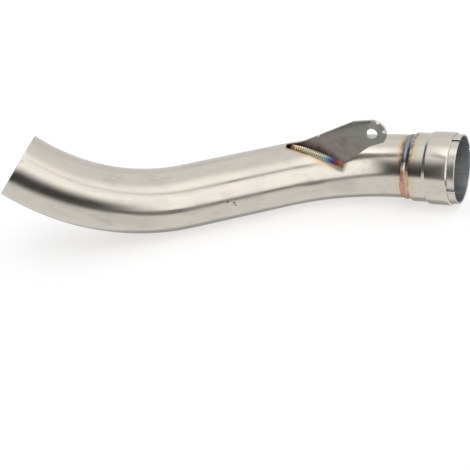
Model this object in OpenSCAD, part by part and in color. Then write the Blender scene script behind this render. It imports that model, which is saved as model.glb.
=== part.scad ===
// Exhaust mid pipe for a motorbike: a round tube bent in two planes, a hanger bracket
// welded to it, and a stepped slip socket with a slotted ring welded to its outlet end.
// Units are millimetres. The pipe lies as it comes to rest on a floor at z = 0.

/* [Tube] */
// Outside diameter of the tube
tube_od = 50.8; // [45:0.1:56]
// Wall thickness of the tube
tube_wall = 1.5; // [1:0.1:2.5]
// Straight length at the inlet end
inlet_len = 8; // [4:1:40]
// Angle of the first bend
bend1_angle = 42; // [25:1:60]
// Centreline radius of the first bend
bend1_clr = 175; // [120:1:220]
// Straight length between the bends
mid_len = 82; // [40:1:140]
// Turn of the second bend's plane about the tube
bend_turn = 109; // [80:1:130]
// Angle of the second bend
bend2_angle = 45; // [35:1:60]
// Centreline radius of the second bend
bend2_clr = 130; // [110:1:180]
// Straight length between the second bend and the seam
outlet_len = 3; // [2:1:30]

/* [Slip socket] */
// Bore of the socket, which takes the next pipe
socket_bore_d = 51.9; // [51:0.1:60]
// Wall thickness of the socket's sheet
socket_wall = 1.5; // [1:0.1:2.5]
// Plain neck that is welded to the tube
neck_len = 2.4; // [2:0.1:6]
// Length of the flare from the neck to the first step
flare_len = 4; // [3:0.5:10]
// Length of the first step of the sleeve, flare and ramp apart
step1_len = 10.1; // [6:0.1:20]
// Length of the ramp between the two steps
ramp_len = 3; // [2:0.5:6]
// Length of the second step, which holds the ring
step2_len = 16.8; // [12:0.1:30]
// Rounding of the sleeve's outer rim
rim_round = 1.2; // [0.4:0.1:1.3]

/* [Slotted ring] */
// Wall thickness of the ring
ring_wall = 1.4; // [1:0.1:2.4]
// How far the ring stands out of the sleeve
ring_stick_out = 5.5; // [3:0.5:12]
// Number of slots
slot_count = 4; // [2:1:8]
// Width of a slot
slot_w = 2.5; // [1.5:0.1:4]
// Length of a slot, its round end included
slot_len = 17; // [8:1:18]
// Turn of the slots about the socket
slot_turn = 17; // [0:1:90]

/* [Hanger bracket] */
// Thickness of the bracket plate
plate_t = 2.5; // [1.5:0.1:5]
// Place of the bracket's foot along the second bend, in degrees of bend
foot_station = 12.5; // [11:0.5:16]
// Place of the foot around the tube, from the inside of the bend
foot_clock = -46.5; // [-60:0.5:-30]
// Turn of the foot away from the tube's length
foot_skew = -32; // [-40:1:-20]
// Lean of the plate away from the square
foot_lean = -27.4; // [-40:0.1:-10]
// Length of the foot towards the inlet
heel_len = 27.5; // [22:0.5:30]
// Length of the foot towards the socket
toe_len = 20.5; // [16:0.5:26]
// Distance of the bolt hole from the foot's line
hole_reach = 35; // [28:0.5:50]
// Distance of the bolt hole along the foot's line
hole_offset = 34.4; // [28:0.5:45]
// Diameter of the bolt hole
hole_d = 8.5; // [6:0.5:11]
// Radius of the bracket's round end
ear_r = 11.2; // [10:0.1:16]

/* [Weld beads] */
// Width of the bead round the seam
seam_bead_w = 3.8; // [2.4:0.1:4.4]
// Height of the bead round the seam
seam_bead_h = 0.7; // [0.3:0.05:1.2]
// Leg of the fillet beads along the bracket's foot
fillet_leg = 3; // [2:0.1:4]
// Bare length of the foot at its heel, which the bead doesn't reach
heel_bare = 3.5; // [2:0.5:8]
// Length of the stitch bead behind the bracket
back_bead_len = 24; // [10:1:26]
// Length of one ripple in a bead
ripple_len = 2; // [1.5:0.1:4]

/* [Hidden] */
$fn = 128;

tube_r = tube_od / 2;
bore_r = socket_bore_d / 2;
step1_r = bore_r + socket_wall;
pocket_r = bore_r + ring_wall;
step2_r = pocket_r + socket_wall;

// Heights along the socket, from the seam
flare_z = neck_len + flare_len;
ramp_z = flare_z + step1_len;
seat_z = ramp_z + ramp_len;
rim_z = seat_z + step2_len;
ring_z = rim_z + ring_stick_out;

// Frames along the tube: a frame is [place, direction, inside of the bend]
function turned(v, axis, a) = v * cos(a) + cross(axis, v) * sin(a) + axis * (axis * v) * (1 - cos(a));
function after_straight(f, len) = [f[0] + f[1] * len, f[1], f[2]];
function after_bend(f, a, clr) =
    let (centre = f[0] + f[2] * clr, axis = cross(f[1], f[2]))
    [centre + turned(f[0] - centre, axis, a), turned(f[1], axis, a), turned(f[2], axis, a)];
function rolled(f, a) = [f[0], f[1], turned(f[2], f[1], a)];

// Attitude of the pipe at rest on the floor: it leans on both bends and on the socket
rest_roll = 60.68;
rest_pitch = 38.13;

inlet = [[0, 0, 0], [1, 0, 0], [0, 1, 0]];
bend1 = after_straight(inlet, inlet_len);
mid = after_bend(bend1, bend1_angle, bend1_clr);
bend2 = rolled(after_straight(mid, mid_len), bend_turn);
outlet = after_bend(bend2, bend2_angle, bend2_clr);
seam = after_straight(outlet, outlet_len);

// Frame of the bracket: x along the foot, y outwards in the plate, z out of its front face
foot_frame = after_bend(bend2, foot_station, bend2_clr);
foot_out = turned(foot_frame[2], foot_frame[1], foot_clock);
foot_place = foot_frame[0] + foot_out * tube_r;
foot_x = turned(foot_frame[1], foot_out, foot_skew);
foot_y = turned(foot_out, foot_x, foot_lean);
foot_z = cross(foot_x, foot_y);

// Outline of the bracket plate in its own frame: its round end stands about the bolt hole,
// the corner, the waist and the flat beside it are placed by shares of that end's radius,
// and the heel runs out in a low tip along the tube
ear = [hole_offset, hole_reach];
foot_depth = 6;
heel_drop = 2.2;
heel_tip_len = 9.5;
heel_tip_angle = 31;
shoulder_back = 1.49;
shoulder_rise = 0.362;
flat_angle = 40.6;
flat_share = 0.86;
waist_share = 0.56;
edge_share = 0.995;
shoulder = ear + ear_r * [-shoulder_back, shoulder_rise];
waist = ear + ear_r * (flat_share * [sin(flat_angle), -cos(flat_angle)]
    - waist_share * [cos(flat_angle), sin(flat_angle)]);
to_ear = ear - shoulder;
top_angle = atan2(to_ear[1], to_ear[0]) + asin(edge_share * ear_r / norm(to_ear));
past_ear = norm(to_ear) + 2 * ear_r;
plate_span = 2 * norm(ear + [heel_len, foot_depth]);

// Sizes of details
ring_chamfer = 0.3;
sleeve_chamfer = 0.4;
curve_steps = 8;
degrees = 180 / PI;

// Points of a smooth ramp in a [radius, height] profile, both ends included
function ramp(r0, z0, r1, z1) =
    [for (k = [0:curve_steps]) let (u = k / curve_steps)
        [r0 + (r1 - r0) * (1 - cos(180 * u)) / 2, z0 + (z1 - z0) * u]];

// Points of a quarter round from a profile's side onto its end
function rim_arc(r, z, round_r) =
    [for (k = [0:curve_steps]) let (a = 90 * k / curve_steps)
        [r - round_r + round_r * cos(a), z - round_r + round_r * sin(a)]];

// How far the pipe reaches in a direction: each entry is [place, normal, radius] of a disc
function disc_on(f, along, r) = [f[0] + f[1] * along, f[1], r];
outline_discs = concat(
    [disc_on(inlet, 0, tube_r)],
    [for (a = [0:bend1_angle]) disc_on(after_bend(bend1, a, bend1_clr), 0, tube_r)],
    [for (a = [0:bend2_angle]) disc_on(after_bend(bend2, a, bend2_clr), 0, tube_r)],
    [disc_on(seam, flare_z, step1_r), disc_on(seam, seat_z, step2_r)],
    [disc_on(seam, rim_z - rim_round, step2_r), disc_on(seam, ring_z - ring_chamfer, pocket_r)],
    [disc_on(seam, ring_z, pocket_r - ring_chamfer)],
    [for (z = [0, -plate_t]) [foot_place + foot_x * ear[0] + foot_y * ear[1] + foot_z * z, foot_z, ear_r]]);
function reach(d) = max([for (q = outline_discs) q[0] * d + q[2] * sqrt(max(0, 1 - pow(q[1] * d, 2)))]);
rest_x = [cos(rest_pitch), sin(rest_pitch) * sin(rest_roll), sin(rest_pitch) * cos(rest_roll)];
rest_y = [0, cos(rest_roll), -sin(rest_roll)];
rest_z = [-sin(rest_pitch), cos(rest_pitch) * sin(rest_roll), cos(rest_pitch) * cos(rest_roll)];
origin = [(reach(rest_x) - reach(-rest_x)) / 2, (reach(rest_y) - reach(-rest_y)) / 2, -reach(-rest_z)];

// Turns children from the tube's own frame to rest, with the origin under the middle
module at_rest() {
    translate(-origin) rotate([rest_roll, rest_pitch, 0]) children();
}

// Stands children, drawn along +Z, on a frame of the tube; +X is the inside of the bend
module on_frame(f) {
    x = f[2];
    y = cross(f[1], f[2]);
    z = f[1];
    multmatrix([[x[0], y[0], z[0], f[0][0]],
                [x[1], y[1], z[1], f[0][1]],
                [x[2], y[2], z[2], f[0][2]],
                [0, 0, 0, 1]])
        children();
}

// One straight run of a section drawn by children
module straight_run(f, len) {
    on_frame(f) linear_extrude(len) children();
}

// One bent run of a section drawn by children
module bent_run(f, a, clr) {
    on_frame(f)
        translate([clr, 0, 0])
            rotate([90, 0, 180])
                rotate_extrude(angle = a)
                    translate([clr, 0])
                        children();
}

// Joins children at a small size, so that ends which differ by less than 0.001 mm still meet
join_scale = 0.0001;
module joined() {
    scale(1 / join_scale)
        for (k = [0:$children - 1])
            scale(join_scale) children(k);
}

// The whole tube, swept from a section drawn by children
module along_tube() {
    joined() {
        straight_run(inlet, inlet_len) children();
        bent_run(bend1, bend1_angle, bend1_clr) children();
        straight_run(mid, mid_len) children();
        bent_run(bend2, bend2_angle, bend2_clr) children();
        straight_run(outlet, outlet_len) children();
    }
}

module tube_section() {
    difference() {
        circle(tube_r);
        circle(tube_r - tube_wall);
    }
}

module main_tube() {
    color([0.78, 0.75, 0.71])
        at_rest() along_tube() tube_section();
}

// Half section of the sleeve: neck, flare, first step, ramp, second step and rolled rim
module sleeve_profile() {
    outside = concat(
        [[tube_r, 0]],
        ramp(tube_r, neck_len, step1_r, flare_z),
        ramp(step1_r, ramp_z, step2_r, seat_z),
        rim_arc(step2_r, rim_z, rim_round));
    inside = concat(
        [[pocket_r + sleeve_chamfer, rim_z], [pocket_r, rim_z - sleeve_chamfer]],
        [[pocket_r, seat_z], [bore_r, seat_z]],
        [for (p = [curve_steps:-1:0]) ramp(tube_r - tube_wall, neck_len, bore_r, flare_z)[p]],
        [[tube_r - tube_wall, 0]]);
    polygon(concat(outside, inside));
}

module slip_socket() {
    color([0.8, 0.78, 0.75])
        at_rest() on_frame(seam) rotate_extrude() sleeve_profile();
}

// Half section of the ring, with its mouth chamfered on both sides
module ring_profile() {
    polygon([
        [bore_r, seat_z],
        [pocket_r, seat_z],
        [pocket_r, ring_z - ring_chamfer],
        [pocket_r - ring_chamfer, ring_z],
        [bore_r + ring_chamfer, ring_z],
        [bore_r, ring_z - ring_chamfer]
    ]);
}

// One slot from the ring's mouth, round at its inner end
module slot_cut() {
    end_z = ring_z - slot_len + slot_w / 2;
    translate([pocket_r, 0, end_z])
        rotate([0, -90, 0])
            cylinder(d = slot_w, h = 2 * ring_wall, center = true);
    translate([pocket_r - ring_wall, -slot_w / 2, end_z])
        cube([2 * ring_wall, slot_w, slot_len]);
}

module slotted_ring() {
    color([0.7, 0.7, 0.69])
        at_rest() on_frame(seam)
            difference() {
                rotate_extrude() ring_profile();
                for (k = [0:slot_count - 1])
                    rotate(slot_turn + 360 * k / slot_count) slot_cut();
            }
}

// The bracket's plate as cut from flat sheet, before its foot is fitted to the tube
module plate_outline() {
    difference() {
        intersection() {
            polygon([
                [-heel_len, -foot_depth],
                [-heel_len, -heel_drop],
                [heel_tip_len - heel_len, heel_tip_len * tan(heel_tip_angle) - heel_drop],
                shoulder,
                shoulder + past_ear * [cos(top_angle), sin(top_angle)],
                waist + past_ear * [cos(flat_angle), sin(flat_angle)],
                waist,
                [toe_len, 0],
                [toe_len, -foot_depth]
            ]);
            union() {
                translate(ear) circle(ear_r);
                translate(ear) rotate(top_angle) translate([-plate_span, -plate_span / 2])
                    square(plate_span);
            }
        }
        translate(ear) circle(hole_d / 2);
    }
}

// Stands children on the bracket's own frame
module on_foot() {
    multmatrix([[foot_x[0], foot_y[0], foot_z[0], foot_place[0]],
                [foot_x[1], foot_y[1], foot_z[1], foot_place[1]],
                [foot_x[2], foot_y[2], foot_z[2], foot_place[2]],
                [0, 0, 0, 1]])
        children();
}

module hanger_bracket() {
    color([0.55, 0.54, 0.52])
        at_rest()
            difference() {
                on_foot() translate([0, 0, -plate_t]) linear_extrude(plate_t) plate_outline();
                along_tube() circle(tube_r);
            }
}

// Height of a bead along its length: each ripple rises slowly and drops at its end
ripple_depth = 0.28;
function ripple(s) = 1 - ripple_depth * pow(s - floor(s), 2);

// Faces of a strip of rings with n points each, open with two caps or closed on itself
function strip_faces(rings, n, closed) = concat(
    [for (k = [0:rings - (closed ? 1 : 2)], j = [0:n - 1])
        let (a = k * n, b = ((k + 1) % rings) * n, j2 = (j + 1) % n)
        each [[a + j, a + j2, b + j2], [a + j, b + j2, b + j]]],
    closed ? [] : [for (j = [1:n - 2]) let (last = (rings - 1) * n)
        each [[0, j + 1, j], [last, last + j, last + j + 1]]]);

// Bead round the seam; its ripples are crescents, so its crown runs ahead of its edges
seam_ripples = round(2 * PI * tube_r / ripple_len);
rings_per_ripple = 3;
seam_rings = seam_ripples * rings_per_ripple;
crown_steps = 6;
crown_lead = 0.5;
function seam_bead_ring(k) =
    [for (j = [0:crown_steps]) let (
        u = 2 * j / crown_steps - 1,
        crown = 1 - u * u,
        s = k / rings_per_ripple,
        a = 360 * (s + crown_lead * crown) / seam_ripples,
        r = tube_r / cos(180 / seam_rings) + seam_bead_h * crown * ripple(s))
        [r * cos(a), r * sin(a), u * seam_bead_w / 2]];

module seam_weld() {
    points = [for (k = [0:seam_rings - 1]) each seam_bead_ring(k)];
    color([0.62, 0.5, 0.4])
        at_rest() on_frame(seam)
            polyhedron(points, strip_faces(seam_rings, crown_steps + 1, true));
}

// Clock angle at which a face of the plate meets the tube, a degrees into the second bend
function foot_clock_at(f, face_z) =
    let (
        p = tube_r * (f[2] * foot_z),
        q = tube_r * (cross(f[1], f[2]) * foot_z),
        d = (foot_place - f[0]) * foot_z + face_z)
    atan2(q, p) - acos(d / norm([p, q]));
function on_tube(f, clock) = f[0] + turned(f[2], f[1], clock) * tube_r;

// Fillet bead: legs up the plate and round the tube, with a bulged and rippled face
fillet_steps = 5;
fillet_bulge = 0.22;
fillet_lead = 0.35;
fillet_rings_per_ripple = 4;
bead_end_len = 1.6;
bead_end_share = 0.45;
foot_step = ripple_len / fillet_rings_per_ripple * cos(foot_skew) / bend2_clr * degrees;
function sweep_x(a, face_z) =
    let (f = after_bend(bend2, a, bend2_clr))
    (on_tube(f, foot_clock_at(f, face_z)) - foot_place) * foot_x;
// Stations of a bead, as [degrees into the bend, x along the foot], between two places
function foot_sweep(face_z, from_x, to_x) =
    [for (a = [0:foot_step:bend2_angle]) let (x = sweep_x(a, face_z)) if (x > from_x && x < to_x) [a, x]];
function bead_size(x, from_x, to_x) =
    bead_end_share + (1 - bead_end_share) * sqrt(min(1, min(x - from_x, to_x - x) / bead_end_len));
function fillet_ring(station, k, size, side) =
    let (
        f = after_bend(bend2, station[0], bend2_clr),
        clock = foot_clock_at(f, side > 0 ? 0 : -plate_t),
        leg_clock = side * size / tube_r * degrees,
        corner = on_tube(f, clock),
        leg_top = corner + foot_y * size,
        leg_end = on_tube(f, clock + leg_clock),
        across = leg_end - leg_top,
        out = side * cross(across, f[1]) / norm(cross(across, f[1])))
    concat(
        [corner],
        [for (j = [0:fillet_steps]) let (
            u = j / fillet_steps,
            crown = 4 * u * (1 - u),
            bulge = size * fillet_bulge * crown * ripple(k / fillet_rings_per_ripple))
            leg_top + across * u + out * bulge + foot_x * (fillet_lead * ripple_len * crown)],
        [on_tube(f, clock + leg_clock / 2)]);

module fillet_weld(side, from_x, to_x) {
    stations = foot_sweep(side > 0 ? 0 : -plate_t, from_x, to_x);
    rings = len(stations);
    points = [for (k = [0:rings - 1])
        let (m = side > 0 ? rings - 1 - k : k, q = stations[m])
        each fillet_ring(q, m, fillet_leg * bead_size(q[1], from_x, to_x), side)];
    at_rest() polyhedron(points, strip_faces(rings, fillet_steps + 3, false));
}

module bracket_weld_front() {
    color([0.72, 0.62, 0.45]) fillet_weld(1, heel_bare - heel_len, toe_len);
}

module bracket_weld_back() {
    color([0.6, 0.52, 0.42]) fillet_weld(-1, -back_bead_len / 2, back_bead_len / 2);
}

main_tube();
slip_socket();
slotted_ring();
hanger_bracket();
seam_weld();
bracket_weld_front();
bracket_weld_back();
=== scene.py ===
# %% [markdown]
# # A stainless exhaust mid pipe
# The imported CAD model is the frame: it says where every piece lies, in metres. This lesson loads it, and then
# builds a finer copy of each piece with the finish of the real one: brushed steel, heat-tinted welds, cut plate.

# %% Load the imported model
import math

import bmesh
import bpy
from mathutils import Matrix, Vector


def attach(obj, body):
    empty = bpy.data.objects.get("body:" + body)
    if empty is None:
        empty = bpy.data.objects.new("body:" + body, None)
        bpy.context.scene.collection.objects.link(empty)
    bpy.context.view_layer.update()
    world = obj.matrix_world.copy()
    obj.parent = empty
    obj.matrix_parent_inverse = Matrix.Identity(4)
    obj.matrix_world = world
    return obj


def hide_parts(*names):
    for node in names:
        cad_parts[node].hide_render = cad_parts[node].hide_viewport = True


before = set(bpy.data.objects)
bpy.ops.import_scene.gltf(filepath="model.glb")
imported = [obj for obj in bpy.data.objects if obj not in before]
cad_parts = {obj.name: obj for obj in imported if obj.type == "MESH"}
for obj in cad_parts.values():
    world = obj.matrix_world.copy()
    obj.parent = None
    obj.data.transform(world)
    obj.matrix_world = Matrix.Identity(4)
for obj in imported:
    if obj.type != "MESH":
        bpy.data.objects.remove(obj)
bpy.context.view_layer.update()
scene = bpy.context.scene
print("CAD nodes:", sorted(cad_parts))

# %% [markdown]
# ## Camera
# The photograph was matched with a lens of about 69 mm on a 36 mm sensor. The camera stands in front of the pipe,
# about 27 degrees above the floor, and leans a few degrees to its side.

# %% Camera
camera = bpy.data.objects.new("camera", bpy.data.cameras.new("camera"))
scene.collection.objects.link(camera)
camera.location = (0.02282, -0.65775, 0.31575)
camera.rotation_euler = [math.radians(a) for a in (63.2196, 4.9360, 0.4395)]
camera.data.sensor_width = 36
camera.data.lens = 900 / 470 * 36
camera.data.clip_start = 0.01
scene.camera = camera
scene.view_settings.view_transform = "Standard"
print("camera at", tuple(round(c, 3) for c in camera.location))

# %% [markdown]
# ## The path of the tube
# A bent tube is a straight run, a bend, a straight run, a bend and a short straight run. Each run carries a frame
# from its start to its end: Z looks along the tube, and X points to the inside of the bend. The second bend lies in
# another plane, so the frame rolls about the tube before it. The numbers are the source's own, in millimetres.

# %% Frames along the tube
MM = 0.001
TUBE_R, TUBE_WALL = 25.4, 1.5


def shift(x, y, z):
    return Matrix.Translation((x * MM, y * MM, z * MM))


def turn(degrees, axis):
    return Matrix.Rotation(math.radians(degrees), 4, axis)


def bent(start, degrees, radius):
    return start @ shift(radius, 0, 0) @ turn(degrees, "Y") @ shift(-radius, 0, 0)


REST = shift(-167.905, -28.0348, 71.8129) @ turn(38.13, "Y") @ turn(60.68, "X")
INLET = REST @ Matrix(((0, 0, 1, 0), (1, 0, 0, 0), (0, 1, 0, 0), (0, 0, 0, 1)))
BEND1 = INLET @ shift(0, 0, 8)
MID = bent(BEND1, 42, 175)
ROLL = 109
BEND2 = MID @ shift(0, 0, 82) @ turn(ROLL, "Z")
OUTLET = bent(BEND2, 45, 130)
SEAM = OUTLET @ shift(0, 0, 3)
print("seam at", tuple(round(c, 4) for c in SEAM.translation))

# %% [markdown]
# Stations are frames at small steps with the length run so far. After the roll each frame is rolled back, so that
# a point keeps its place around the tube from end to end. The brushing and the heat tint need that.

# %% Stations along the tube
stations = []
run_length = 0


def add_run(start, length, steps, degrees=0, radius=0, rolled=0):
    global run_length
    first = 0 if not stations else 1
    for k in range(first, steps + 1):
        part = k / steps
        here = bent(start, degrees * part, radius) if degrees else start @ shift(0, 0, length * part)
        stations.append((here @ turn(-rolled, "Z"), run_length + length * part))
    run_length += length


add_run(INLET, 8, 2)
add_run(BEND1, math.radians(42) * 175, 36, 42, 175)
add_run(MID, 82, 16)
add_run(BEND2, math.radians(45) * 130, 36, 45, 130, ROLL)
add_run(OUTLET, 3, 1, rolled=ROLL)
print(len(stations), "stations over", round(run_length, 1), "mm")

# %% [markdown]
# ## Pieces
# Every finished piece becomes an object at the origin that rides on the one body and hides the CAD node that it
# stands for. Its material is put on later.

# %% Helpers for pieces
SEAM_BACK = (SEAM @ turn(-ROLL, "Z")).inverted()


def finish_piece(bm, name, nodes, sharp=35):
    mesh = bpy.data.meshes.new(name)
    bm.to_mesh(mesh)
    bm.free()
    piece = bpy.data.objects.new(name, mesh)
    scene.collection.objects.link(piece)
    mesh.shade_smooth()
    mesh.set_sharp_from_angle(angle=math.radians(sharp))
    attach(piece, "root")
    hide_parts(*nodes)
    print(name, len(mesh.polygons), "faces")
    return piece


def mark_from_seam(bm):
    """Writes each point's length along the pipe and its place across it, in millimetres."""
    layer = bm.verts.layers.float_vector.get("sweep") or bm.verts.layers.float_vector.new("sweep")
    for v in bm.verts:
        p = SEAM_BACK @ v.co / MM
        v[layer] = (run_length + p.z, p.x, p.y)


def mark_from_foot(bm):
    """Writes each point's place in the bracket's own frame, in millimetres."""
    layer = bm.verts.layers.float_vector.get("foot") or bm.verts.layers.float_vector.new("foot")
    for v in bm.verts:
        v[layer] = FOOT_BACK @ v.co / MM


FOOT = bent(BEND2, 12.5, 130) @ turn(-46.5, "Z") @ shift(TUBE_R, 0, 0) @ turn(-32, "X") @ turn(-27.4, "Z")
FOOT = FOOT @ Matrix(((0, 1, 0, 0), (0, 0, 1, 0), (1, 0, 0, 0), (0, 0, 0, 1)))
FOOT_BACK = FOOT.inverted()
print("bolt hole at", tuple(round(c, 4) for c in FOOT @ Vector((34.4 * MM, 35 * MM, 0))))

# %% [markdown]
# ## Main tube
# A mandrel-bent tube keeps its round section all the way. One circle walks round the wall: it is extruded from
# station to station along the outside, steps in at the far end, comes back along the inside and closes on itself.
# The sawn rim of the inlet then gets a fine bevel.

# %% Main tube
def walk_ring(path, around=144):
    """path is a closed list of (frame, length, radius); the ring is extruded from each to the next."""
    bm = bmesh.new()
    layer = bm.verts.layers.float_vector.new("sweep")
    before, length, radius = path[0]
    verts = bmesh.ops.create_circle(bm, segments=around, radius=radius * MM, matrix=before)["verts"]
    edges = list({e for v in verts for e in v.link_edges})
    for here, length, wide in path + path[:1]:
        if here is not before or wide != radius:
            grown = bmesh.ops.extrude_edge_only(bm, edges=edges)["geom"]
            verts = [g for g in grown if isinstance(g, bmesh.types.BMVert)]
            edges = [g for g in grown if isinstance(g, bmesh.types.BMEdge)]
            sized = Matrix.Diagonal((wide / radius, wide / radius, 1, 1))
            bmesh.ops.transform(bm, matrix=here @ sized @ before.inverted(), verts=verts)
            before, radius = here, wide
        back = here.inverted()
        for v in verts:
            p = back @ v.co / MM
            v[layer] = (length, p.x, p.y)
    bmesh.ops.remove_doubles(bm, verts=bm.verts, dist=0.01 * MM)
    bmesh.ops.recalc_face_normals(bm, faces=bm.faces)
    return bm


outside = [(here, length, TUBE_R) for here, length in stations]
inside = [(here, length, TUBE_R - TUBE_WALL) for here, length in reversed(stations)]
bm = walk_ring(outside + inside)
sweep = bm.verts.layers.float_vector["sweep"]
rim_edges = [e for e in bm.edges if max(v[sweep][0] for v in e.verts) < 0.01
             and abs(e.verts[0][sweep].yz.length - e.verts[1][sweep].yz.length) < 0.1]
bmesh.ops.bevel(bm, geom=rim_edges, offset=0.3 * MM, affect="EDGES", segments=3, profile=0.5, material=-1)
mark_from_foot(bm)
main_tube = finish_piece(bm, "bent_tube", ["main_tube"])

# %% [markdown]
# ## Slip socket
# The socket is spun from sheet, so it is a profile turned about the tube's axis: a plain neck, a short flare, the
# first step, a soft ramp and the second step, whose rim is rolled inwards.

# %% Slip socket
BORE_R, SHEET, RING_WALL = 25.95, 1.5, 1.4
STEP1_R, POCKET_R = BORE_R + SHEET, BORE_R + RING_WALL
STEP2_R = POCKET_R + SHEET
NECK_Z, FLARE_Z, RAMP_Z, SEAT_Z, RIM_Z, RING_Z = 2.4, 6.4, 16.5, 19.5, 36.3, 41.8


def ramp(r0, z0, r1, z1, steps=10):
    return [(r0 + (r1 - r0) * (1 - math.cos(math.pi * k / steps)) / 2, z0 + (z1 - z0) * k / steps)
            for k in range(steps + 1)]


def spin_profile(profile, around=144):
    """Turns a closed profile of (radius, height) points about the socket's axis."""
    bm = bmesh.new()
    verts = [bm.verts.new(SEAM @ Vector((r * MM, 0, z * MM))) for r, z in profile]
    edges = [bm.edges.new((a, b)) for a, b in zip(verts, verts[1:] + verts[:1])]
    axis = SEAM.to_3x3() @ Vector((0, 0, 1))
    bmesh.ops.spin(bm, geom=verts + edges, cent=SEAM.translation, axis=axis, dvec=(0, 0, 0),
                   angle=math.tau, steps=around, use_merge=True, use_duplicate=False)
    bmesh.ops.recalc_face_normals(bm, faces=bm.faces)
    return bm


rim = [(STEP2_R - 1.2 + 1.2 * math.cos(math.radians(a)), RIM_Z - 1.2 + 1.2 * math.sin(math.radians(a)))
       for a in range(0, 91, 15)]
bm = spin_profile(
    [(TUBE_R, 0)] + ramp(TUBE_R, NECK_Z, STEP1_R, FLARE_Z) + ramp(STEP1_R, RAMP_Z, STEP2_R, SEAT_Z) + rim
    + [(POCKET_R + 0.4, RIM_Z), (POCKET_R, RIM_Z - 0.4), (POCKET_R, SEAT_Z), (BORE_R, SEAT_Z)]
    + ramp(TUBE_R - TUBE_WALL, NECK_Z, BORE_R, FLARE_Z)[::-1] + [(TUBE_R - TUBE_WALL, 0)])
mark_from_seam(bm)
socket = finish_piece(bm, "stepped_socket", ["slip_socket"])

# %% [markdown]
# ## Copies of exact pieces
# The ring, the bracket and the beads already have their true shape in the CAD model, as loose triangles. A copy is
# merged first, and then refined: flat faces are joined, edges get a small bevel, and beads are smoothed.

# %% Copies of CAD nodes
def merged_copy(node):
    bm = bmesh.new()
    bm.from_mesh(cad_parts[node].data)
    for key in list(bm.verts.layers.float_vector.keys()):
        bm.verts.layers.float_vector.remove(bm.verts.layers.float_vector[key])
    bmesh.ops.remove_doubles(bm, verts=bm.verts, dist=0.002 * MM)
    return bm


bm = merged_copy("slotted_ring")
mark_from_seam(bm)
ring = finish_piece(bm, "clamp_ring", ["slotted_ring"])

bm = merged_copy("hanger_bracket")
bmesh.ops.dissolve_limit(bm, angle_limit=math.radians(1), verts=bm.verts, edges=bm.edges)
outline = [e for e in bm.edges if len(e.link_faces) == 2 and e.calc_face_angle(0) > math.radians(60)
           and max((FOOT_BACK @ v.co).y for v in e.verts) > 1.7 * MM]
bmesh.ops.bevel(bm, geom=outline, offset=0.3 * MM, affect="EDGES", segments=2, profile=0.5, clamp_overlap=True,
                material=-1)
print("open edges of the plate:", sum(not e.is_manifold for e in bm.edges))
mark_from_foot(bm)
bracket = finish_piece(bm, "bracket_plate", ["hanger_bracket"])

LEAN, PITCH = 1.6, 1.7
beads = {}


def ripple(bm, height, place):
    """Raises every vertex by the ripples of a bead; place gives the distance along it in millimetres."""
    bm.normal_update()
    raised = [(v, v.normal * (height * MM * (abs(math.sin(math.pi * place(v))) ** 0.6 - 0.8))) for v in bm.verts]
    for v, by in raised:
        v.co += by


def round_seam(v):
    p = SEAM_BACK @ v.co / MM
    across = (p.z - LEAN * 0.5) / 1.9
    return (math.atan2(p.y, p.x) * TUBE_R + across * across * 0.7) / 1.63


def along_foot(v):
    p = FOOT_BACK @ v.co / MM
    return (p.x + ((p.z - abs(p.y)) / 2) ** 2 * 0.2) / PITCH


for node, name in (("seam_weld", "seam_bead"), ("bracket_weld_front", "foot_bead_front"),
                   ("bracket_weld_back", "foot_bead_back")):
    bm = merged_copy(node)
    bmesh.ops.join_triangles(bm, faces=bm.faces, angle_face_threshold=3.14, angle_shape_threshold=3.14)
    bmesh.ops.subdivide_edges(bm, edges=bm.edges[:], cuts=3, use_grid_fill=True)
    if node == "seam_weld":
        along_pipe = SEAM.to_3x3() @ Vector((0, 0, LEAN * MM))
        for v in bm.verts:
            v.co += along_pipe * min(max((v.co.z - 0.006) / 0.034, 0), 1)
    ripple(bm, 0.22, round_seam if node == "seam_weld" else along_foot)
    mark_from_seam(bm)
    mark_from_foot(bm)
    beads[name] = finish_piece(bm, name, [node], sharp=80)

# %% [markdown]
# ## Shader maths
# A small class wraps a socket, so that `1 - mask` or `along * 0.2` adds the Math node that does it. A second class
# holds one node tree and adds any other node, and a finish is such a tree on a material.

# %% Shader helpers
class Value:
    """A number that changes over a surface; sums with it add Math nodes."""

    def __init__(self, nodes, socket):
        self.nodes, self.socket = nodes, socket

    def __add__(self, other):
        return self.nodes.maths("ADD", self, other)

    __radd__ = __add__

    def __sub__(self, other):
        return self.nodes.maths("SUBTRACT", self, other)

    def __rsub__(self, other):
        return self.nodes.maths("SUBTRACT", other, self)

    def __mul__(self, other):
        return self.nodes.maths("MULTIPLY", self, other)

    __rmul__ = __mul__

    def __truediv__(self, other):
        return self.nodes.maths("DIVIDE", self, other)

    def __pow__(self, other):
        return self.nodes.maths("POWER", self, other)


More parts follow.
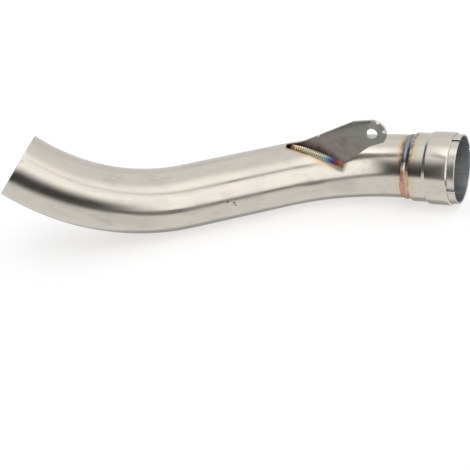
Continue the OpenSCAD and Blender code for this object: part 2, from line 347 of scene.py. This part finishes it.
class Nodes:
    """One node tree, with a method for any node and short ones for those used often."""

    def __init__(self, tree):
        self.tree = tree

    def put(self, socket, value):
        if isinstance(value, Value):
            self.tree.links.new(value.socket, socket)
        else:
            socket.default_value = value

    def node(self, kind, settings=None, inputs=None, output=0):
        made = self.tree.nodes.new(kind)
        for key, value in (settings or {}).items():
            if key == "stops":
                ramp_of = made.color_ramp
                while len(ramp_of.elements) < len(value):
                    ramp_of.elements.new(0.5)
                for element, (place, colour) in zip(ramp_of.elements, value):
                    element.position = place
                    element.color = (*colour, 1)
            else:
                setattr(made, key, value)
        for key, value in (inputs or {}).items():
            self.put(made.inputs[key], value)
        return Value(self, made.outputs[output])

    def maths(self, operation, a, b=0.0):
        return self.node("ShaderNodeMath", {"operation": operation}, {0: a, 1: b})

    def parts(self, vector):
        return [self.node("ShaderNodeSeparateXYZ", None, {0: vector}, output=k) for k in range(3)]

    def band(self, value, low, high):
        """0 below low, 1 above high, and smooth between them."""
        return self.node("ShaderNodeMapRange", {"interpolation_type": "SMOOTHSTEP"},
                         {0: value, 1: low, 2: high, 3: 0.0, 4: 1.0})

    def window(self, value, low, high, soft):
        """1 from low to high, with edges as wide as soft."""
        return (self.band(value, low - soft / 2, low + soft / 2)
                * (1 - self.band(value, high - soft / 2, high + soft / 2)))

    def blend(self, factor, a, b):
        return a + (b - a) * factor


class Finish(Nodes):
    """A material with a Principled shader."""

    def __init__(self, name, roughness=0.3, metallic=1.0):
        self.material = bpy.data.materials.new(name)
        self.material.use_nodes = True
        super().__init__(self.material.node_tree)
        self.shader = self.tree.nodes["Principled BSDF"]
        self.shader.inputs["Roughness"].default_value = roughness
        self.shader.inputs["Metallic"].default_value = metallic

    def attribute(self, name):
        return self.node("ShaderNodeAttribute", {"attribute_name": name}, output="Vector")

    def stretched(self, vector, x, y, z):
        return self.node("ShaderNodeVectorMath", {"operation": "MULTIPLY"}, {0: vector, 1: (x, y, z)})

    def noise(self, vector, scale, detail=2.0, roughness=0.5):
        return self.node("ShaderNodeTexNoise", None,
                         {"Vector": vector, "Scale": scale, "Detail": detail, "Roughness": roughness})

    def ramp(self, value, low, high, stops):
        """A colour for each place between low and high."""
        scaled = self.node("ShaderNodeMapRange", None, {0: value, 1: low, 2: high, 3: 0.0, 4: 1.0})
        return self.node("ShaderNodeValToRGB", {"stops": [((p - low) / (high - low), c) for p, c in stops]},
                         {0: scaled})

    def mix(self, factor, a, b, blend="MIX"):
        a, b = [(*c, 1) if isinstance(c, tuple) and len(c) == 3 else c for c in (a, b)]
        return self.node("ShaderNodeMix", {"data_type": "RGBA", "blend_type": blend}, {0: factor, 6: a, 7: b},
                         output=2)

    def colour(self, value):
        self.put(self.shader.inputs["Base Color"], (*value, 1) if isinstance(value, tuple) else value)

    def roughness(self, value):
        self.put(self.shader.inputs["Roughness"], value)

    def bump(self, height, distance, strength=1.0):
        """Height is 0 to 1, and distance is how far that is, in millimetres."""
        made = self.node("ShaderNodeBump", None, {"Height": height, "Distance": distance * MM, "Strength": strength})
        self.put(self.shader.inputs["Normal"], made)

    def wear(self, *pieces):
        for piece in pieces:
            piece.data.materials.clear()
            piece.data.materials.append(self.material)


# %% [markdown]
# ## Brushed stainless
# The tube was ground on a belt while it turned, so its fine lines run round it. They are a noise that is stretched
# round the pipe and squeezed along it, in the "sweep" coordinates, so they follow the bends. Beside the seam the
# heat of welding has tinted the steel in bands: straw, brown, purple and blue. Inside, the steel is dull and grey.

# %% Brushed steel
WARM_STEEL, COOL_STEEL = (0.672, 0.622, 0.548), (0.632, 0.602, 0.55)
STRAW, ORANGE, BROWN, SCALE = (0.66, 0.53, 0.33), (0.44, 0.27, 0.15), (0.24, 0.13, 0.08), (0.07, 0.04, 0.03)
PURPLE, SLATE, COPPER = (0.15, 0.08, 0.13), (0.22, 0.24, 0.28), (0.62, 0.34, 0.22)
DULL_INSIDE = (0.46, 0.45, 0.44)


def brushed(name, roughness, wall_r):
    f = Finish(name, roughness)
    sweep = f.attribute("sweep")
    along, across_x, across_y = f.parts(sweep)
    radius = f.maths("SQRT", across_x * across_x + across_y * across_y)
    outer = f.band(radius, wall_r - 0.5, wall_r - 0.3)
    lines = f.noise(f.stretched(sweep, 2.6, 0.02, 0.02), 1.0, 2.0, 0.6)
    cloud = f.noise(sweep, 0.045, 3.0, 0.6)
    smears = f.noise(f.stretched(sweep, 0.05, 0.15, 0.15), 1.0, 4.0, 0.65)
    steel = f.mix(f.band(cloud, 0.35, 0.7), WARM_STEEL, COOL_STEEL)
    steel = f.mix(f.band(smears, 0.5, 0.8) * 0.38, steel, (0.40, 0.37, 0.32))
    rough = roughness + (lines - 0.5) * 0.1 + (cloud - 0.5) * 0.12 + (smears - 0.5) * 0.14
    return f, steel, rough, lines, outer, sweep, smears


def heat_at_seam(f, steel, sweep):
    """Tint beside the seam: bands by distance from it, broader and bluer on top of the pipe."""
    along, across_x, across_y = f.parts(sweep)
    wander = f.noise(sweep, 0.16, 3.0, 0.6) - 0.5
    height = f.parts(f.node("ShaderNodeTexCoord", output="Object"))[2]
    away = along - run_length + wander * 2.2 - f.band(height, 0.006, 0.040) * LEAN
    on_top = f.band(height + wander * 0.012, 0.036, 0.043)
    side = f.ramp(away, -12, 14, [(-9.0, WARM_STEEL), (-5.0, STRAW), (-3.4, WARM_STEEL), (-2.6, ORANGE), (-1.9, BROWN),
                                  (2.0, COPPER), (2.8, STRAW), (4.6, ORANGE), (6.0, STRAW), (12.0, WARM_STEEL)])
    top = f.ramp(away, -12, 14, [(-9.0, WARM_STEEL), (-5.0, STRAW), (-3.6, ORANGE), (-2.4, BROWN), (-1.6, SLATE),
                                 (2.0, SLATE), (4.4, SLATE), (5.4, BROWN), (7.2, STRAW), (13.0, WARM_STEEL)])
    near = f.window(away, -8.5, 11.5, 3.0)
    patchy = 0.4 + 0.5 * f.band(f.noise(sweep, 0.3, 2.0, 0.6), 0.35, 0.6)
    return f.mix(near * patchy, steel, f.mix(on_top, side, top))


def heat_at_foot(f, steel):
    """Tint on the tube along the bracket's bead: a dark line, then straw."""
    foot = f.attribute("foot")
    foot_x, foot_y, foot_z = f.parts(foot)
    wander = f.noise(foot, 0.25, 3.0, 0.6) - 0.5
    out = foot_z + wander * 1.6
    bands = f.ramp(out, 2, 10, [(2.4, SCALE), (2.9, SCALE), (3.5, ORANGE), (4.4, STRAW), (8.0, WARM_STEEL)])
    behind = f.ramp(out * -1, 4, 12, [(4.2, BROWN), (6.0, ORANGE), (8.0, STRAW), (11.5, WARM_STEEL)])
    beside = f.window(foot_x, -27, 23, 4) * f.window(foot_y, -6, 6, 3)
    front_near = f.window(out, -3, 7, 3)
    back_near = f.window(out * -1, 3.5, 10, 3) * f.window(foot_x, -13, 13, 5)
    tinted = f.mix(beside * front_near * 0.72, steel, bands)
    return f.mix(beside * back_near * 0.6, tinted, behind)


def nicks(f, sweep, amount):
    """A few short scuffs: where two stretched noises both peak."""
    first = f.noise(f.stretched(sweep, 0.5, 0.16, 0.16), 1.0, 3.0, 0.7)
    second = f.noise(f.stretched(sweep, 0.09, 0.05, 0.05), 1.0, 1.0, 0.5)
    return f.band(first, 0.66, 0.72) * f.band(second, 0.52, 0.62) * amount


f, steel, rough, lines, outer, sweep, smears = brushed("brushed_tube", 0.2, TUBE_R)
steel = heat_at_foot(f, heat_at_seam(f, steel, sweep))
scuffs = nicks(f, sweep, 0.5)
steel = f.mix(scuffs, steel, (0.28, 0.26, 0.23))
ragged = (f.noise(sweep, 0.9, 2.0, 0.6) - 0.5) * 1.6
for centre, size in (((161.9, -10.2, 23.2), 1.5), ((167.0, -12.1, 22.3), 1.7), ((167.9, -14.0, 21.1), 1.3)):
    away = f.node("ShaderNodeVectorMath", {"operation": "DISTANCE"}, {0: sweep, 1: centre}, output="Value")
    steel = f.mix((1 - f.band(away + ragged, size * 0.3, size)) * 0.75, steel, (0.13, 0.12, 0.10))
f.colour(f.mix(outer, DULL_INSIDE, steel))
f.roughness(f.blend(outer, 0.5, rough + scuffs * 0.25))
f.bump(lines, 0.0012)
f.wear(main_tube)

f, steel, rough, lines, outer, sweep, smears = brushed("brushed_socket", 0.18, TUBE_R)
steel = heat_at_seam(f, steel, sweep)
f.colour(f.mix(outer, DULL_INSIDE, steel))
f.roughness(f.blend(outer, 0.5, rough))
f.bump(lines, 0.0012)
f.wear(socket)

f, steel, rough, lines, outer, sweep, smears = brushed("turned_ring", 0.24, POCKET_R)
along, across_x, across_y = f.parts(sweep)
radius = f.maths("SQRT", across_x * across_x + across_y * across_y)
before_end = 1 - f.band(along, run_length + RING_Z - 0.35, run_length + RING_Z - 0.15)
# The side walls of the slots are painted almost black: painted shade in the narrow slots.
slot_wall_shade = f.window(radius, BORE_R + 0.15, POCKET_R - 0.15, 0.1) * before_end
bore = f.mix(f.band(smears, 0.3, 0.7), (0.34, 0.355, 0.37), (0.5, 0.505, 0.51))
f.colour(f.mix(slot_wall_shade, f.mix(outer, bore, steel), (0.03, 0.03, 0.03)))
f.roughness(f.blend(outer, 0.5, rough))
f.bump(lines, 0.0015)
f.wear(ring)

# %% [markdown]
# ## Cut plate
# The bracket was cut from mill-finished sheet, which is duller than the tube; its colour is also painted much darker,
# as painted shade, because the plate faces downwards and takes little light. Its cut edges are lighter and catch the
# light, the heat of the weld has browned its foot, which painted shade in the corner against the tube darkens further,
# and the rest shows the faint green and rose that a thin oxide gives. Places come from the "foot" coordinates, in
# millimetres from the middle of the foot.

# %% Cut plate
f = Finish("cut_plate", 0.4)
foot = f.attribute("foot")
foot_x, foot_y, foot_z = f.parts(foot)
grain = f.noise(f.stretched(foot, 0.5, 3.0, 0.5), 1.0, 3.0, 0.6)
blotch = f.noise(foot, 0.075, 4.0, 0.6)
specks = f.noise(foot, 0.7, 2.0, 0.7)
high = f.band(foot_y + (blotch - 0.5) * 30, 14, 34)
# Both tones are painted far darker than bare steel: partly the duller mill finish, partly painted shade for a plate
# that faces downwards. Their green and rose are the oxide.
low_tone = f.ramp(blotch, 0.3, 0.72, [(0.36, (0.20, 0.175, 0.155)), (0.5, (0.275, 0.245, 0.225)),
                                      (0.62, (0.235, 0.185, 0.17)), (0.7, (0.29, 0.27, 0.255))])
high_tone = f.ramp(blotch, 0.3, 0.72, [(0.36, (0.30, 0.285, 0.26)), (0.5, (0.235, 0.25, 0.215)),
                                       (0.62, (0.275, 0.262, 0.235)), (0.7, (0.24, 0.225, 0.215))])
tone = f.mix(high, low_tone, high_tone)
tone = f.mix(f.band(specks, 0.62, 0.74) * 0.35, tone, (0.42, 0.40, 0.36))
# Near the foot the plate darkens to almost black: partly the weld's heat tint, partly painted shade in the corner
# against the tube, darkest at the heel.
rise = foot_y + (blotch - 0.5) * 10 + f.maths("MAXIMUM", foot_x - 2, 0) * 0.35
browned_and_shaded = f.mix(f.band(rise, 1.5, 13), (0.05, 0.028, 0.02), tone)
edge_on = f.maths("ABSOLUTE", foot_z + 1.25)


def spot(x, y, size):
    away_x, away_y = foot_x - x, foot_y - y
    return 1 - f.band(f.maths("SQRT", away_x * away_x + away_y * away_y) + (specks - 0.5) * 3, size * 0.4, size)


cut_edge = (1 - f.band(edge_on, 0.75, 1.2)) * f.band(foot_y, 3, 9)
# Three nicks of bare metal, painted brighter than any steel as painted glints on them.
worn_nick_glints = f.maths("MAXIMUM", spot(-4.8, 16.6, 1.5), f.maths("MAXIMUM", spot(42.8, 40.4, 1.9), spot(36, 46.2, 1.7)))
plate = f.mix(cut_edge, browned_and_shaded, (0.56, 0.54, 0.50))
plate = f.mix(spot(17.7, 39.3, 3.2) * 0.7, plate, (0.46, 0.43, 0.25))
f.colour(f.mix(worn_nick_glints, plate, (0.85, 0.82, 0.76)))
f.roughness(0.34 + (blotch - 0.5) * 0.3 + (grain - 0.5) * 0.16)
f.bump(grain, 0.006)
f.wear(bracket)

# %% [markdown]
# ## Weld metal
# A bead cools in ripples, and its colour tells how hot each place was: straw where it was cool, then brown, purple,
# blue and teal. On the bracket the colours follow the length of the bead, from its tack to its end. On the seam they
# follow the height, because the torch went over the top last.

# %% Weld metal
def weld_metal(name):
    f = Finish(name, 0.24)
    foot = f.attribute("foot")
    speckle = f.noise(foot, 1.1, 3.0, 0.65)
    f.roughness(0.2 + speckle * 0.16)
    f.bump(speckle, 0.03)
    return f, foot, speckle


f, foot, speckle = weld_metal("foot_weld_metal")
foot_x, foot_y, foot_z = f.parts(foot)
place = foot_x + (speckle - 0.5) * 5
colours = f.ramp(place, -26, 22, [
    (-25, (0.30, 0.17, 0.10)), (-22, (0.66, 0.48, 0.33)), (-17, (0.62, 0.47, 0.30)), (-12, (0.66, 0.57, 0.38)),
    (0, (0.60, 0.56, 0.40)), (5, (0.42, 0.52, 0.46)), (8, (0.16, 0.28, 0.34)), (10.5, (0.08, 0.11, 0.27)),
    (13, (0.13, 0.05, 0.18)), (16, (0.22, 0.06, 0.05)), (19, (0.38, 0.16, 0.09)), (21, (0.30, 0.17, 0.10))])
lower = f.band(foot_z, 1.9, 2.8) * f.band(foot_x, 6, 12)
colours = f.mix(lower * 0.8, colours, (0.66, 0.42, 0.27))
# The troughs between the ripples are painted darker: painted shade in these creases.
ripple_trough_shade = 1 - f.band(f.maths("ABSOLUTE", f.maths("SINE", foot_x * (math.pi / PITCH))), 0.05, 0.5)
colours = f.mix(ripple_trough_shade * 0.6, colours, (0.12, 0.085, 0.06))
f.colour(f.mix(f.band(foot_y, 1.7, 2.7) * 0.75, colours, (0.07, 0.045, 0.035)))
f.wear(beads["foot_bead_front"], beads["foot_bead_back"])

f, foot, speckle = weld_metal("seam_weld_metal")
height = f.parts(f.node("ShaderNodeTexCoord", output="Object"))[2] / MM
colours = f.ramp(height + (speckle - 0.5) * 5, 0, 56, [
    (1, (0.34, 0.17, 0.11)), (9, (0.55, 0.29, 0.20)), (24, (0.62, 0.36, 0.27)), (33, (0.50, 0.27, 0.21)),
    (36.5, (0.78, 0.66, 0.58)), (39, (0.60, 0.45, 0.38)), (41.5, (0.05, 0.03, 0.045)), (43.5, (0.24, 0.17, 0.22)),
    (46, (0.26, 0.27, 0.31)), (54, (0.31, 0.31, 0.32))])
f.colour(colours)
f.wear(beads["seam_bead"])

# %% [markdown]
# ## The studio
# Bare metal shows its surroundings more than its own colour, so the surroundings are what gives a pipe its look. A
# few lamps would do, but their edges are hard to place. Here the world itself is the studio: pale walls, a wide soft
# light above, a soft light in front, the dark gap between the two, the dark of the room on the left, and the
# camera's stand. Each is a window in azimuth (0 towards the camera, positive to the right) and elevation.

# %% Studio surroundings
world = bpy.data.worlds.new("studio")
world.use_nodes = True
scene.world = world
w = Nodes(world.node_tree)
look = w.node("ShaderNodeTexCoord", output="Generated")
look_x, look_y, look_z = w.parts(look)
elevation = w.maths("ARCSINE", look_z) * math.degrees(1)
azimuth = w.maths("ARCTAN2", look_x, 0 - look_y) * math.degrees(1)
turn_left = w.maths("MAXIMUM", 5 - azimuth, 0) * w.band(azimuth, -178, -80)
upper_gap = elevation - (41 + 0.28 * turn_left)
lower_gap = elevation + 21 - 0.3 * turn_left
behind = 1 - w.window(azimuth, -150, 150, 30)

light = w.blend(w.window(azimuth, -110, 60, 60), 0.8, 0.98)
room_top = w.band(elevation - w.band(azimuth, -47, -36) * 5, 10, 50)
light = w.blend(w.window(azimuth, -150, -27, 14) * (1 - room_top * room_top), light, 0.11)
light = w.blend(w.window(azimuth, -27, 110, 14) * (1 - w.band(upper_gap, -2, 5)), light, 1.34)
above = w.blend(w.window(azimuth, -115, 60, 60), 0.9, 1.42)
above = w.blend(w.window(azimuth, -60, -4, 16) * w.window(elevation, 52, 76, 6), above, 1.8)
light = w.blend(w.band(upper_gap, -2, 5), light, above)
gap_sides = w.window(azimuth, -66, 47, 7) * (1 - w.window(azimuth, -4, 19, 12))
gap_depth = w.blend(w.band(azimuth, -20, 10), 0.7, 1)
light = w.blend(gap_sides * gap_depth * w.window(upper_gap, -4, 4, 4), light, 0.12)
ground = w.blend(w.window(azimuth, -8, 18, 10), 0.9, 0.8)
ground = w.blend(behind * w.window(elevation, -74, -26, 16), ground, 0.42)
light = w.blend(1 - w.band(lower_gap, -8, -2), light, ground)
deeper = w.window(azimuth, 16, 33, 8) * 6
sill = w.band(lower_gap + deeper, -7, -3) * (1 - w.band(lower_gap, 4, 8))
light = w.blend(w.window(azimuth, -160, 75, 20) * sill, light, 0.2)
w.put(world.node_tree.nodes["Background"].inputs["Strength"], light)
world.node_tree.nodes["Background"].inputs["Color"].default_value = (1, 1, 1, 1)

# %% [markdown]
# ## Floor
# The floor is a pale sheet. The camera sees it lifted towards white by emission, and the rest of its light is real,
# so it keeps the soft shadow under the pipe. The metal doesn't reflect this sheet but the pale floor that is part of
# the studio above, with the dark gap between its front edge and the soft light.

# %% Floor
bm = bmesh.new()
bmesh.ops.create_grid(bm, x_segments=1, y_segments=1, size=3)
mesh = bpy.data.meshes.new("floor")
bm.to_mesh(mesh)
bm.free()
floor = bpy.data.objects.new("floor", mesh)
scene.collection.objects.link(floor)
f = Finish("pale_floor", 0.9, 0.0)
f.material.cycles.emission_sampling = "NONE"
rays = {name: f.node("ShaderNodeLightPath", output=name) for name in ("Is Camera Ray", "Is Transmission Ray")}
tone = 0.5
seen = 0.56 * (rays["Is Camera Ray"] + rays["Is Transmission Ray"])
f.colour((tone, tone, tone))
f.put(f.shader.inputs["Emission Color"], (1, 1, 1, 1))
f.put(f.shader.inputs["Emission Strength"], seen)
f.shader.inputs["Specular IOR Level"].default_value = 0
f.wear(floor)
floor.visible_glossy = False

# %% [markdown]
# Two cards stand in front of the inlet, and only the metal sees them. Photographers call the black one a flag: it
# gives the first bend its long dark streak. The pale one above it fills the gap of the studio for that bend. Both
# fade out at their edges, as unsharp edges do.

# %% Cards
def glossy_card(name, distance, tone, slope, low, high, left, right):
    bm = bmesh.new()
    bmesh.ops.create_grid(bm, x_segments=1, y_segments=1, size=0.5,
                          matrix=Matrix.Translation((-0.15, -distance, 0.3)) @ Matrix.Rotation(math.pi / 2, 4, "X"))
    mesh = bpy.data.meshes.new(name)
    bm.to_mesh(mesh)
    bm.free()
    card = bpy.data.objects.new(name, mesh)
    scene.collection.objects.link(card)
    f = Finish(name, 1.0, 0.0)
    f.material.cycles.emission_sampling = "NONE"
    place_x, place_y, place_z = f.parts(f.node("ShaderNodeTexCoord", output="Object"))
    f.colour((0, 0, 0))
    f.shader.inputs["Specular IOR Level"].default_value = 0
    f.shader.inputs["Emission Color"].default_value = (1, 1, 1, 1)
    f.shader.inputs["Emission Strength"].default_value = tone
    height = f.band(place_z, *low) * (1 - f.band(place_z + (place_x + 0.18) * slope, *high))
    f.put(f.shader.inputs["Alpha"], height * f.band(place_x, *left) * (1 - f.band(place_x, *right)))
    f.wear(card)
    card.visible_camera = card.visible_diffuse = card.visible_shadow = False
    print(name, "with a brightness of", tone)


glossy_card("black_card", 0.20, 0.05, 0.35, (-0.07, 0.02), (0.07, 0.18), (-0.34, -0.24), (-0.07, 0.03))
glossy_card("pale_card", 0.44, 1.25, 0, (0.28, 0.34), (0.72, 0.79), (-0.02, 0.05), (0.16, 0.34))
